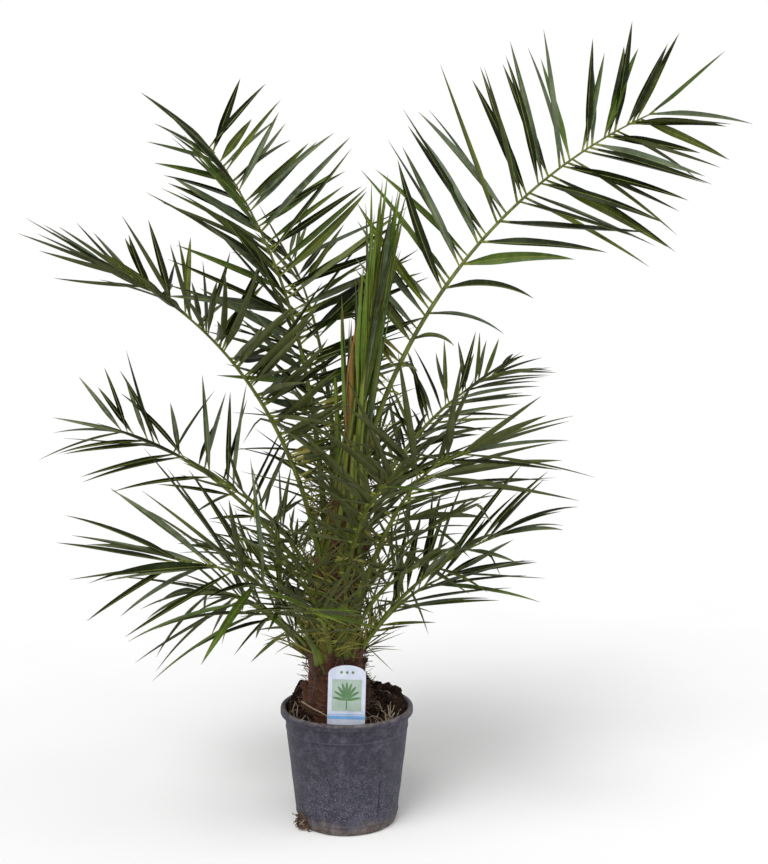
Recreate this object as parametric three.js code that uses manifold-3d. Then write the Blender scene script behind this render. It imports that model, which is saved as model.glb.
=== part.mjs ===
// A young date palm in a black nursery pot, standing on the pot's flat underside.
// Millimetres, +Z up. The origin is the centre of the pot's underside, and -Y is the front.
// Each frond is a thin blade of its outline, worked out from the frond's own sizes: where it leaves
// the trunk, how it rises and droops, and how long its leaflets are and how they stand.

import * as THREE from "three";
import Module from "manifold-3d";

const manifoldLibrary = await Module();
manifoldLibrary.setup();
const { Manifold, Mesh: ManifoldMesh } = manifoldLibrary;

// ---- driving sizes ----

const POT = {
  rimRadius: 120,
  underRimRadius: 112,
  baseRadius: 89.5,
  height: 211,
  rimHeight: 13,
  collarHeight: 38,
  ridge: 1.6,
  wall: 2.6,
  floor: 3,
  lip: 3,
  edgeRadius: 5,
  segments: 40,
};

const SOIL = {
  level: 190,
  mound: 12,
  dip: 7,
  wallGap: 0.6,
  floorGap: 0.4,
  rings: 6,
  broadLump: 1.8,
  smallLump: 1.2,
};

const TRUNK = {
  foot: new THREE.Vector3(-20, 12, 186),
  top: new THREE.Vector3(6, 12, 620),
  bendsFrom: 0.45,
  footRadius: 46,
  topRadius: 27,
  flare: 6,
  flareHeight: 60,
  bark: 1.5,
  rings: 12,
  segments: 24,
};

const SPEAR = {
  foot: new THREE.Vector3(6, 12, 620.5),
  middle: new THREE.Vector3(40, 12, 900),
  tip: new THREE.Vector3(86, 14, 1135),
  footHalfWidth: 9,
  fullHalfWidth: 37,
  tipHalfWidth: 7,
  flatness: 0.34,
  rings: 10,
  corners: 8,
};

const TAG = {
  width: 66,
  length: 160,
  thickness: 1.2,
  archHeight: 16,
  archSteps: 13,
  foot: new THREE.Vector3(-1, -84, 143),
  leanBack: 6,
  leanSide: 1.5,
};

// The blade's thickness tapers from the rachis to its edges: a share of it at each of five points.
const BLADE = {
  thickness: 3.2,
  thicknessShares: [0.5, 0.75, 1, 0.75, 0.5],
  petioleHalfWidth: 9,
  petioleTipHalfWidth: 6,
  tipHalfWidth: 4,
  spineShare: 0.22,
  fullAt: 0.45,
  tipShare: 0.75,
  lastLeafletShare: 0.9,
  splitGap: 4,
  rowSpacing: 60,
  fewestRows: 6,
  sagPower: 1.6,
  leafletSteps: 8,
  rachisSteps: 48,
};

// Shares of the rachis: the short step between the bare petiole and the first leaflets, and a mark
// past the tip that stands for the last leaflet.
const STALK_STEP = 0.004;
const LAST_LEAFLET = 1.1;

const CUT_GAP = 0.6;
const SIMPLIFY = 0.01;

// ---- the fronds ----
// azimuth: which way the frond leaves the trunk, 0 to the right and 90 to the back.
// height: where it leaves the trunk. root: how far out from its middle, as a share of its radius.
// rise: its slope there. droop: how far it has bent at its tip, and bend: how late.
// sway: how its heading turns. length: of the rachis. stalk: the bare share of it.
// roll and twist: how its flat side is turned, at the foot and by the tip.
// angle and lift: how the leaflets stand off the rachis and out of the frond's plane, foot to tip.
// close: how late the angle closes. lean and drop: how the two sides differ in angle and in lift.
// leaflet: the longest leaflet. sag: how the leaflets hang. pieces: where it is cut at its bends.

const LEAFLETS = {
  angle: [75, 25], close: 2, lean: 0, lift: [25, 10], drop: 0, sway: 0, twist: 0, root: 0.6,
};

const FRONDS = [
  { name: "frond_tall_right", azimuth: 20, height: 600, rise: 80, droop: 56, bend: 0.85, length: 940,
    stalk: 0.12, roll: -20, twist: -50, angle: [70, 24], close: 5, lift: [22, 10], drop: 14,
    leaflet: 290, sag: 0.1, pieces: [0.42, 0.72] },
  { name: "frond_tall_left", azimuth: 135, height: 420, rise: 86, droop: 36, bend: 1.7, sway: 28,
    length: 850, stalk: 0.25, roll: 25, angle: [72, 55], lean: 4, lift: [20, 18], leaflet: 255,
    sag: 0.03, pieces: [0.45, 0.74] },
  { name: "frond_arching_left", azimuth: 200, height: 430, rise: 79, droop: 58, bend: 1.5, sway: -28,
    length: 710, stalk: 0.2, roll: 5, angle: [75, 11], close: 4, lift: [40, 8], leaflet: 200, sag: 0,
    pieces: [0.45, 0.75] },
  { name: "frond_middle_left", azimuth: 165, height: 400, rise: 52, droop: 39, bend: 1.5, length: 510,
    stalk: 0.15, roll: 40, angle: [72, 22], lean: 7, lift: [20, 10], leaflet: 200, sag: 0.16,
    pieces: [0.55] },
  { name: "frond_low_left", azimuth: 230, height: 270, rise: 64, droop: 62, bend: 1.4, sway: -28,
    length: 400, stalk: 0.3, roll: 30, angle: [60, 20], lift: [20, 5], leaflet: 255, sag: 0.15,
    pieces: [0.62] },
  { name: "frond_lowest_left", azimuth: 150, height: 260, rise: 46, droop: 58, bend: 1.2, sway: -10,
    length: 345, stalk: 0.2, roll: 15, angle: [62, 22], lift: [-40, -30], leaflet: 235, sag: 0.4,
    pieces: [0.6] },
  { name: "frond_lowest_right", azimuth: 30, height: 280, root: 0.8, rise: 52, droop: 42, bend: 1.3,
    sway: -8, length: 270, stalk: 0.15, roll: -28, angle: [42, 12], lift: [5, 5], leaflet: 220,
    sag: 0.1, pieces: [] },
  { name: "frond_low_right", azimuth: -25, height: 290, root: 0.8, rise: 57, droop: 36, bend: 1.4,
    sway: 5, length: 380, stalk: 0.2, roll: -20, angle: [68, 20], lift: [30, 10], leaflet: 210,
    sag: 0.3, pieces: [0.6] },
  { name: "frond_middle_right", azimuth: -35, height: 380, root: 0.95, rise: 65, droop: 54, bend: 3.2,
    length: 395, stalk: 0.2, roll: 35, angle: [74, 22], close: 3, lift: [10, 5], leaflet: 260,
    sag: 0.15, pieces: [0.6] },
  { name: "frond_upper_right", azimuth: 40, height: 530, rise: 50, droop: 38, bend: 1.6, length: 475,
    stalk: 0.2, roll: -20, angle: [66, 14], lift: [20, 10], leaflet: 180, sag: 0.1, pieces: [0.6] },
  { name: "frond_tall_back", azimuth: 108, height: 500, rise: 84, droop: 50, bend: 1.3, sway: 8,
    length: 620, stalk: 0.2, roll: 0, leaflet: 215, sag: 0.1, pieces: [0.6] },
  { name: "frond_middle_back", azimuth: 96, height: 360, rise: 72, droop: 60, bend: 1.3, sway: -5,
    length: 580, stalk: 0.18, roll: 0, leaflet: 215, sag: 0.12, pieces: [0.6] },
  { name: "frond_right_back", azimuth: 62, height: 340, rise: 64, droop: 52, bend: 1.3, sway: 5,
    length: 500, stalk: 0.18, roll: 0, leaflet: 215, sag: 0.12, pieces: [0.6] },
  { name: "frond_low_back", azimuth: 108, height: 270, rise: 54, droop: 50, bend: 1.3, length: 380,
    stalk: 0.18, roll: 0, angle: [70, 25], leaflet: 215, sag: 0.15, pieces: [] },
  { name: "frond_low_front", azimuth: -98, height: 270, rise: 62, droop: 60, bend: 1.3, length: 300,
    stalk: 0.22, roll: 0, angle: [70, 25], leaflet: 150, sag: 0.15, pieces: [] },
  { name: "frond_middle_front", azimuth: -66, height: 370, rise: 74, droop: 50, bend: 1.3,
    length: 360, stalk: 0.2, roll: 0, angle: [70, 25], leaflet: 160, sag: 0.1, pieces: [0.6] },
];

// ---- materials ----

const paint = (color, roughness) =>
  new THREE.MeshStandardMaterial({ color, roughness, metalness: 0 });

const MATERIALS = {
  pot: paint(0x413f4b, 0.62),
  soil: paint(0x24160f, 0.95),
  trunk: paint(0x573424, 0.9),
  tag: paint(0xe6e8ee, 0.4),
  spear: paint(0x4c5c26, 0.55),
  frond: paint(0x3f4724, 0.55),
};

// ---- closed shells ----

const radians = THREE.MathUtils.degToRad;

function smooth(value) {
  const share = Math.min(Math.max(value, 0), 1);
  return share * share * (3 - 2 * share);
}

function mix(from, to, share) {
  return from + (to - from) * share;
}

// A closed mesh from rings of points, all of one even length. The rings are joined in order, and
// each end is closed by a strip from one half of its ring to the other, so it may be flat or bent.
// The two halves are split along matching diagonals, so a thin twisted shell never crosses itself.
function loft(rings) {
  const count = rings[0].length;
  const faces = [];
  for (let row = 0; row + 1 < rings.length; row += 1) {
    for (let index = 0; index < count; index += 1) {
      const next = (index + 1) % count;
      const [a, b] = [row * count + index, row * count + next];
      const firstHalf = index < count / 2;
      faces.push(firstHalf ? [a, b, b + count] : [a, b, a + count]);
      faces.push(firstHalf ? [a, b + count, a + count] : [b, b + count, a + count]);
    }
  }
  for (let index = 0; index + 1 < count / 2; index += 1) {
    const [a, b, c, d] = [index, index + 1, count - 2 - index, count - 1 - index];
    const last = (rings.length - 1) * count;
    faces.push([c, b, a], [d, c, a]);
    faces.push([last + a, last + b, last + c], [last + a, last + c, last + d]);
  }
  return solidOf(rings.flat(), faces.filter((face) => new Set(face).size === 3));
}

// The faces are turned to look outwards, whichever way round the rings were given.
function solidOf(points, faces) {
  const sixVolumes = faces.map(([a, b, c]) => points[a].dot(points[b].clone().cross(points[c])));
  const outwards = sixVolumes.reduce((sum, value) => sum + value, 0) > 0;
  const turned = outwards ? faces : faces.map((face) => [...face].reverse());
  return new Manifold(new ManifoldMesh({
    numProp: 3,
    vertProperties: new Float32Array(points.flatMap((point) => point.toArray())),
    triVerts: new Uint32Array(turned.flat()),
  }));
}

function geometryOf(solid) {
  const mesh = solid.getMesh();
  const geometry = new THREE.BufferGeometry();
  geometry.setAttribute("position", new THREE.BufferAttribute(new Float32Array(mesh.vertProperties), 3));
  geometry.setIndex(new THREE.BufferAttribute(new Uint32Array(mesh.triVerts), 1));
  geometry.computeVertexNormals();
  return geometry;
}

function circle(radiusAt, height, segments, centre = new THREE.Vector3()) {
  return Array.from({ length: segments }, (_, index) => {
    const turn = (2 * Math.PI * index) / segments;
    const radius = radiusAt(turn);
    return new THREE.Vector3(
      centre.x + radius * Math.cos(turn), centre.y + radius * Math.sin(turn), height,
    );
  });
}

// ---- pot ----

function potRadius(height) {
  const share = height / (POT.height - POT.rimHeight);
  return mix(POT.baseRadius, POT.underRimRadius, share);
}

// The inside is one straight cone from the floor to just below the rim.
function potInnerRadius(height) {
  const share = (height - POT.floor) / (POT.height - POT.lip - POT.floor);
  return mix(potRadius(POT.floor), POT.underRimRadius, share) - POT.wall;
}

function potProfile() {
  const under = POT.height - POT.rimHeight;
  const collar = POT.height - POT.collarHeight;
  const edge = POT.edgeRadius;
  const outside = [
    [0, 0],
    [POT.baseRadius - edge, 0],
    [POT.baseRadius - 0.3 * edge, 0.3 * edge],
    [potRadius(edge), edge],
    [potRadius(collar - 5), collar - 5],
    [potRadius(collar) + POT.ridge, collar],
    [potRadius(collar + 3) + 0.5 * POT.ridge, collar + 3],
    [potRadius(under), under],
    [POT.rimRadius - 2, under],
    [POT.rimRadius, under + 3],
    [POT.rimRadius, POT.height - 4],
    [POT.rimRadius - 3, POT.height],
  ];
  const mouth = POT.height - POT.lip;
  const inside = [
    [potInnerRadius(mouth) + 2, POT.height],
    [potInnerRadius(mouth), mouth],
    [potInnerRadius(POT.floor), POT.floor],
    [0, POT.floor],
  ];
  return [...outside, ...inside].map(([radius, height]) => new THREE.Vector2(radius, height));
}

function makePot() {
  const geometry = new THREE.LatheGeometry(potProfile(), POT.segments);
  geometry.rotateX(Math.PI / 2);
  return geometry;
}

// ---- soil ----

// The soil lies low at the front and is heaped at the back and the right, in lumps.
function soilHeight(x, y) {
  const reach = POT.underRimRadius;
  const heap = SOIL.mound * smooth(0.5 + (0.5 * x + 0.9 * y) / reach) - SOIL.dip * smooth(-y / reach);
  const broad = SOIL.broadLump * Math.sin(x / 11 + 1.3) * Math.cos(y / 9);
  const small = SOIL.smallLump * Math.sin((x + y) / 6);
  return SOIL.level + heap + broad + small;
}

function makeSoil() {
  const innerRadius = (height) => potInnerRadius(height) - SOIL.wallGap;
  const bottom = POT.floor + SOIL.floorGap;
  const ring = (radius, heightAt) => circle(() => radius, 0, POT.segments)
    .map((point) => point.setZ(heightAt(point.x, point.y)));
  const top = Array.from({ length: SOIL.rings }, (_, index) => {
    const share = 1 - index / SOIL.rings;
    return ring(innerRadius(SOIL.level - SOIL.dip) * share, soilHeight);
  });
  return loft([ring(innerRadius(bottom), () => bottom), ...top]);
}

// ---- trunk ----

// The trunk stands upright in its lower part, and leans to the right above that.
function trunkAt(height) {
  const share = (height - TRUNK.foot.z) / (TRUNK.top.z - TRUNK.foot.z);
  const centre = new THREE.Vector3().lerpVectors(TRUNK.foot, TRUNK.top, share);
  centre.x = mix(TRUNK.foot.x, TRUNK.top.x, smooth((share - TRUNK.bendsFrom) / (1 - TRUNK.bendsFrom)));
  const flare = TRUNK.flare * (1 - smooth((height - TRUNK.foot.z) / TRUNK.flareHeight));
  return { centre, radius: mix(TRUNK.footRadius, TRUNK.topRadius, share) + flare };
}

function makeTrunk(grow = 0) {
  const rings = Array.from({ length: TRUNK.rings + 1 }, (_, index) => {
    const share = index / TRUNK.rings;
    const height = mix(TRUNK.foot.z - grow, TRUNK.top.z + grow, share);
    const { centre, radius } = trunkAt(height);
    const scales = (turn) => radius + grow + TRUNK.bark * Math.sin(5 * turn + 1.8 * index);
    return circle(scales, height, TRUNK.segments, centre);
  });
  return loft(rings);
}

// ---- spear: the leaflets of the newest fronds, still folded together ----

function spearHalfWidth(share) {
  const wide = mix(SPEAR.footHalfWidth, SPEAR.fullHalfWidth, smooth((share - 0.22) / 0.33));
  return mix(wide, SPEAR.tipHalfWidth, smooth((share - 0.6) / 0.4));
}

function makeSpear(grow = 0) {
  const path = new THREE.QuadraticBezierCurve3(SPEAR.foot, SPEAR.middle, SPEAR.tip);
  const rings = Array.from({ length: SPEAR.rings + 1 }, (_, row) => {
    const share = row / SPEAR.rings;
    const centre = path.getPoint(share);
    const halfWidth = spearHalfWidth(share) + grow;
    const halfDepth = Math.max(halfWidth * SPEAR.flatness, SPEAR.tipHalfWidth) + grow;
    return Array.from({ length: SPEAR.corners }, (_corner, index) => {
      const turn = (2 * Math.PI * index) / SPEAR.corners;
      return new THREE.Vector3(
        centre.x + halfWidth * Math.cos(turn), centre.y + halfDepth * Math.sin(turn), centre.z);
    });
  });
  return loft(rings);
}

// ---- tag: a plain plastic label pushed into the soil ----

function makeTag(grow = 0) {
  const half = TAG.width / 2 + grow;
  const shoulder = TAG.length - TAG.archHeight;
  const outline = [new THREE.Vector2(-half, -grow), new THREE.Vector2(half, -grow)];
  for (let step = 0; step <= TAG.archSteps; step += 1) {
    const turn = (Math.PI * step) / TAG.archSteps;
    outline.push(new THREE.Vector2(
      half * Math.cos(turn), shoulder + (TAG.archHeight + grow) * Math.sin(turn)));
  }
  const tilt = new THREE.Matrix4().makeRotationX(-radians(TAG.leanBack));
  tilt.premultiply(new THREE.Matrix4().makeRotationY(radians(TAG.leanSide)));
  const face = (depth) => outline.map((point) =>
    new THREE.Vector3(point.x, depth, point.y).applyMatrix4(tilt).add(TAG.foot));
  return loft([face(-TAG.thickness / 2 - grow), face(TAG.thickness / 2 + grow)]);
}

// ---- fronds ----

// The rachis as points and frames from its foot on the trunk to its tip.
function rachisOf(frond) {
  const steps = BLADE.rachisSteps;
  const heading = (share) => radians(frond.azimuth + frond.sway * share);
  const { centre, radius } = trunkAt(frond.height);
  const point = centre.clone();
  point.x += frond.root * radius * Math.cos(heading(0));
  point.y += frond.root * radius * Math.sin(heading(0));
  const stations = [];
  for (let step = 0; step <= steps; step += 1) {
    const share = Math.min((step + 0.5) / steps, 1);
    const slope = radians(frond.rise - frond.droop * share ** frond.bend);
    const turn = heading(share);
    const along = new THREE.Vector3(
      Math.cos(slope) * Math.cos(turn), Math.cos(slope) * Math.sin(turn), Math.sin(slope));
    const level = new THREE.Vector3(Math.sin(turn), -Math.cos(turn), 0);
    const face = new THREE.Vector3().crossVectors(level, along);
    const roll = radians(frond.roll + frond.twist * share);
    const across = level.clone().multiplyScalar(Math.cos(roll)).addScaledVector(face, Math.sin(roll));
    face.multiplyScalar(Math.cos(roll)).addScaledVector(level, -Math.sin(roll));
    stations.push({ point: point.clone(), along, across, face });
    point.addScaledVector(along, frond.length / steps);
  }
  return stations;
}

function stationAt(stations, share) {
  const place = Math.min(Math.max(share, 0), 1) * (stations.length - 1);
  const index = Math.min(Math.floor(place), stations.length - 2);
  const [before, after] = [stations[index], stations[index + 1]];
  const between = (key) => before[key].clone().lerp(after[key], place - index);
  return {
    point: between("point"),
    along: between("along").normalize(),
    across: between("across").normalize(),
    face: between("face").normalize(),
  };
}

function leafletLength(frond, share) {
  const grown = BLADE.spineShare + (1 - BLADE.spineShare) * smooth(share / BLADE.fullAt);
  return frond.leaflet * grown * mix(1, BLADE.tipShare, smooth((share - 0.5) / 0.5));
}

// The line along one leaflet: at its foot, half way and at its tip, as it sags under its weight.
function leafletLine(frond, station, share, side, grow) {
  const angle = radians(mix(frond.angle[0], frond.angle[1], share ** frond.close) + side * frond.lean);
  const lift = radians(mix(frond.lift[0], frond.lift[1], share) - (side > 0 ? frond.drop : 0));
  const way = station.along.clone().multiplyScalar(Math.cos(angle))
    .addScaledVector(station.across, side * Math.sin(angle) * Math.cos(lift))
    .addScaledVector(station.face, Math.sin(angle) * Math.sin(lift));
  const length = leafletLength(frond, share) + grow;
  const steps = BLADE.leafletSteps;
  const point = station.point.clone();
  const line = [];
  for (let step = 0; step < steps; step += 1) {
    const hang = frond.sag * ((step + 0.5) / steps) ** BLADE.sagPower;
    const hanging = way.clone().setZ(way.z - hang).normalize();
    point.addScaledVector(hanging, length / steps);
    if (step === steps / 2 - 1 || step === steps - 1) line.push(point.clone());
  }
  return line;
}

// One row across the blade, left tip to right tip, at a share of the rachis from 0 to 1.
// Past 1 it is the last leaflet, which ends the blade in a point.
function bladeRow(frond, stations, share, grow) {
  const station = stationAt(stations, share);
  if (share < frond.stalk) {
    const half = mix(BLADE.petioleHalfWidth, BLADE.petioleTipHalfWidth, share / frond.stalk) + grow;
    const at = (side) => station.point.clone().addScaledVector(station.across, side * half);
    return { points: [at(-1), at(-0.5), station.point, at(0.5), at(1)], station };
  }
  if (share > 1) {
    const reach = BLADE.lastLeafletShare * frond.leaflet * BLADE.tipShare + grow;
    const centre = station.point.clone().addScaledVector(station.along, reach);
    const at = (side) => centre.clone().addScaledVector(station.across, BLADE.tipHalfWidth * side);
    return { points: [at(-1), at(-0.5), centre, at(0.5), at(1)], station };
  }
  const place = (share - frond.stalk) / (1 - frond.stalk);
  const left = leafletLine(frond, station, place, -1, grow);
  const right = leafletLine(frond, station, place, 1, grow);
  return { points: [left[1], left[0], station.point, right[0], right[1]], station };
}

// The blade between two shares of the rachis, as a closed thin shell.
function makeBlade(frond, from, to, grow = 0) {
  const stations = rachisOf(frond);
  const shift = grow / frond.length;
  const last = to >= 1;
  const [start, end] = [from - shift, last ? 1 : to + shift];
  const rows = Math.max(BLADE.fewestRows, Math.round(((to - from) * frond.length) / BLADE.rowSpacing));
  const shares = Array.from({ length: rows + 1 }, (_, index) => mix(start, end, index / rows));
  if (start < frond.stalk && end > frond.stalk) {
    shares.push(frond.stalk - STALK_STEP, frond.stalk + STALK_STEP);
    shares.sort((a, b) => a - b);
  }
  if (last) shares.push(LAST_LEAFLET);
  const rings = shares.map((share) => {
    const { points, station } = bladeRow(frond, stations, share, grow);
    const halves = BLADE.thicknessShares.map((part) => (part * BLADE.thickness) / 2 + grow);
    const upper = points.map((point, index) => point.clone().addScaledVector(station.face, halves[index]));
    const lower = points.map((point, index) => point.clone().addScaledVector(station.face, -halves[index]));
    return [...upper, ...lower.reverse()];
  });
  return loft(rings);
}

function largestPart(solid) {
  const parts = solid.decompose();
  parts.sort((a, b) => b.volume() - a.volume());
  return parts[0];
}

// ---- assembly: each solid is cut clear of those made before it ----

const palm = new THREE.Group();
palm.name = "date_palm_in_pot";
const placed = [];

function add(name, geometry, material) {
  const mesh = new THREE.Mesh(geometry, material);
  mesh.name = name;
  palm.add(mesh);
}

function addCut(name, make, material) {
  const whole = make(0);
  const cut = placed.length ? whole.subtract(Manifold.union(placed)) : whole;
  const solid = largestPart(cut.simplify(SIMPLIFY));
  add(name, geometryOf(solid), material);
  placed.push(make(CUT_GAP));
}

function frondPieces(frond) {
  const ends = [0, ...frond.pieces, 1];
  const names = { 1: [""], 2: ["_lower", "_tip"], 3: ["_lower", "_middle", "_tip"] }[ends.length - 1];
  const gap = BLADE.splitGap / frond.length / 2;
  return names.map((suffix, index) => ({
    name: frond.name + suffix,
    from: ends[index] + (index > 0 ? gap : 0),
    to: ends[index + 1] - (index + 1 < names.length ? gap : 0),
  }));
}

add("pot", makePot(), MATERIALS.pot);
addCut("trunk", makeTrunk, MATERIALS.trunk);
addCut("plant_tag", makeTag, MATERIALS.tag);
addCut("soil", makeSoil, MATERIALS.soil);
addCut("spear", makeSpear, MATERIALS.spear);
for (const entry of FRONDS) {
  const frond = { ...LEAFLETS, ...entry };
  for (const piece of frondPieces(frond)) {
    addCut(piece.name, (grow) => makeBlade(frond, piece.from, piece.to, grow), MATERIALS.frond);
  }
}

export default palm;
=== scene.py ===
"""A young date palm in a black nursery pot: the looks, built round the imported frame.

Metres and degrees, +Z up, the origin at the centre of the pot's underside and -Y the front.
Each frond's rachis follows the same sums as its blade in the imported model.
"""
import math
import random

import bmesh
import bpy
import numpy as np
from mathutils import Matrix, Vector, noise


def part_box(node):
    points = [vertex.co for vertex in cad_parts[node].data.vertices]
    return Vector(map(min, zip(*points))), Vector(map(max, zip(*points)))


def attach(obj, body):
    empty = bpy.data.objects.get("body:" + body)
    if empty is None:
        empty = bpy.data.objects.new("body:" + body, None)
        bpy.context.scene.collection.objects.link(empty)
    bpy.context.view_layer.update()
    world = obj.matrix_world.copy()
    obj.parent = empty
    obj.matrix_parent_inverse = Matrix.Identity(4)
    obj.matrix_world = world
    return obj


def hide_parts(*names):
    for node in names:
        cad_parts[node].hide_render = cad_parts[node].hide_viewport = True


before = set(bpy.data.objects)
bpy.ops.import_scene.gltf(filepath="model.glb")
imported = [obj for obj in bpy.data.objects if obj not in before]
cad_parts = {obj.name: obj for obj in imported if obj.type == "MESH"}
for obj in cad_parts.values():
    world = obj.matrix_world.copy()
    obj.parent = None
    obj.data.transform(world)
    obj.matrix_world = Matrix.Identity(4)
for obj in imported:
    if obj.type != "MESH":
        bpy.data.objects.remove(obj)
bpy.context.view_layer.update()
NODES = list(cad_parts)

# ---- sizes taken from the frame ----

POT_LOW, POT_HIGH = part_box("pot")
RIM_RADIUS = POT_HIGH[0]
POT_HEIGHT = POT_HIGH[2]
UNDER_RIM_RADIUS = RIM_RADIUS - 0.008
BASE_RADIUS = 0.0895
RIM_HEIGHT = 0.013
COLLAR_HEIGHT = 0.038
FOOT_STEP = 0.018
WALL = 0.0026
SOIL_LEVEL = 0.19

TRUNK_LOW, TRUNK_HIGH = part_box("trunk")
TRUNK_FOOT = np.array([-0.020, 0.012, TRUNK_LOW[2]])
TRUNK_TOP = np.array([0.006, 0.012, TRUNK_HIGH[2]])
TRUNK_FOOT_RADIUS = 0.046
TRUNK_TOP_RADIUS = 0.027
TRUNK_BENDS_FROM = 0.45
TRUNK_FLARE, TRUNK_FLARE_HEIGHT = 0.013, 0.075

SPEAR_LOW, SPEAR_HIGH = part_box("spear")
TAG_LOW, TAG_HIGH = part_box("plant_tag")


# ---- the fronds ----
# The rachis, as in the imported model: azimuth is its heading, and sway how far that turns by the
# tip. height and root are where it leaves the trunk: the level, and the share of the radius. rise
# is its slope at the foot, and droop how much of that it loses, the later the larger bend is. roll
# and twist turn its flat side. stalk is the share without leaflets, foot the half-width where it
# starts, and brown_to the height up to which its base is brown.
# The leaflets: pairs of them stand at angle to the rachis, the first and the last, which closes
# late where close is large, and are lifted off its flat side by lift. Side 1 is to the right,
# looking out along the frond, and side -1 to the left: lean opens side 1 and closes side -1, and
# drop lowers side 1. splay is how uneven all are. leaflet is the full length, tip the share of it
# at the tip, slim a share of the width, sag how they hang, and kinked the share that is folded
# over. sparse_side loses two in three of its leaflets up to sparse_to, and the rest hang more by
# sparse_sag. tone runs from grey-green, 0 or less, to the fresh green of a young frond, 1.

# A lower tone also gives more of a frond's leaflets the near-black deep green, which is painted shade.
DEFAULTS = dict(
    root=0.6, brown_to=0.3, foot=0.0095, bend=1.3, sway=0, stalk=0.2, roll=0, twist=0,
    angle=(75, 25), close=2, lean=0, lift=(25, 10), drop=0, leaflet=0.215, tip=0.75, slim=1,
    splay=7, kinked=0.04, sparse_side=0, sparse_to=0, sparse_sag=0, tone=0.4)

FRONDS = {
    "frond_tall_right": dict(
        azimuth=20, height=0.6, rise=80, droop=56, bend=0.85, length=0.94, stalk=0.12, roll=-20,
        twist=-50, angle=(70, 24), close=5, lift=(22, 10), drop=14, leaflet=0.3, tip=0.68,
        slim=1.18, sag=0.12, splay=5, kinked=0, pairs=46, sparse_side=1, sparse_to=0.6,
        sparse_sag=1.3, tone=0.35),
    "frond_tall_left": dict(
        azimuth=135, height=0.42, rise=86, droop=36, bend=1.7, sway=28, length=0.85, stalk=0.25,
        roll=25, angle=(72, 60), lean=4, lift=(20, 18), leaflet=0.285, tip=0.64, slim=1.1,
        sag=0.03, splay=5, kinked=0, pairs=44, tone=0.7),
    "frond_arching_left": dict(
        azimuth=200, height=0.43, rise=79, droop=58, bend=1.5, sway=-28, length=0.71, roll=5,
        angle=(92, 11), close=4, lift=(72, 8), leaflet=0.22, slim=1.2, sag=0, splay=8, kinked=0,
        pairs=44, tone=0.1),
    "frond_middle_left": dict(
        azimuth=165, height=0.4, rise=52, droop=39, bend=1.5, length=0.51, stalk=0.15, roll=40,
        angle=(72, 22), lean=7, lift=(20, 10), slim=0.9, sag=0.16, splay=10, kinked=0, pairs=24,
        sparse_side=-1, sparse_to=0.6, tone=-0.7),
    "frond_low_left": dict(
        azimuth=230, height=0.27, brown_to=0.246, foot=0.0145, rise=64, droop=62, bend=1.4,
        sway=-28, length=0.4, stalk=0.3, roll=30, angle=(60, 20), lift=(20, 5), leaflet=0.265,
        sag=0.15, splay=9, kinked=0, pairs=18, tone=0.3),
    "frond_lowest_left": dict(
        azimuth=150, height=0.26, rise=46, droop=58, bend=1.2, sway=-10, length=0.345, roll=15,
        angle=(62, 22), lift=(-45, -30), leaflet=0.245, sag=0.4, splay=9, kinked=0, pairs=13,
        tone=0.7),
    "frond_lowest_right": dict(
        azimuth=30, height=0.28, root=0.8, rise=52, droop=42, sway=-8, length=0.27, stalk=0.15,
        roll=-28, angle=(42, 12), lift=(5, 5), leaflet=0.23, sag=0.1, splay=6, pairs=12, tone=0.5),
    "frond_low_right": dict(
        azimuth=-25, height=0.29, root=0.8, rise=57, droop=36, bend=1.4, sway=5, length=0.38,
        roll=-20, angle=(68, 20), lift=(30, 10), leaflet=0.22, sag=0.3, splay=8, kinked=0,
        pairs=15, tone=0.3),
    "frond_middle_right": dict(
        azimuth=-35, height=0.38, root=0.95, rise=65, droop=54, bend=3.2, length=0.395, roll=35,
        angle=(74, 22), close=3, lift=(10, 5), leaflet=0.285, sag=0.15, splay=9, kinked=0,
        pairs=20, tone=0.35),
    "frond_upper_right": dict(
        azimuth=40, height=0.53, rise=50, droop=38, bend=1.6, length=0.475, roll=-20,
        angle=(66, 14), lift=(20, 10), leaflet=0.18, tip=0.7, sag=0.1, splay=9, kinked=0,
        pairs=24, tone=0.15),
    "frond_tall_back": dict(
        azimuth=108, height=0.5, rise=84, droop=50, sway=8, length=0.62, slim=0.85, sag=0.1,
        pairs=24),
    "frond_middle_back": dict(
        azimuth=96, height=0.36, rise=72, droop=60, sway=-5, length=0.58, stalk=0.18, slim=0.85,
        sag=0.12, pairs=22, tone=0.3),
    "frond_right_back": dict(
        azimuth=62, height=0.34, rise=64, droop=52, sway=5, length=0.5, stalk=0.18, sag=0.12,
        pairs=25, tone=0.3),
    "frond_low_back": dict(
        azimuth=108, height=0.27, rise=54, droop=50, length=0.38, stalk=0.18, angle=(70, 25),
        sag=0.15, kinked=0.08, pairs=19, tone=0.2),
    "frond_low_front": dict(
        azimuth=-98, height=0.27, rise=62, droop=60, length=0.3, stalk=0.22, angle=(70, 25),
        leaflet=0.15, slim=0.85, sag=0.15, splay=11, pairs=20, tone=0.95),
    "frond_middle_front": dict(
        azimuth=-66, height=0.37, rise=74, droop=50, length=0.36, angle=(70, 25), leaflet=0.16,
        slim=0.85, sag=0.1, splay=11, pairs=26, tone=0.95),
}

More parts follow.
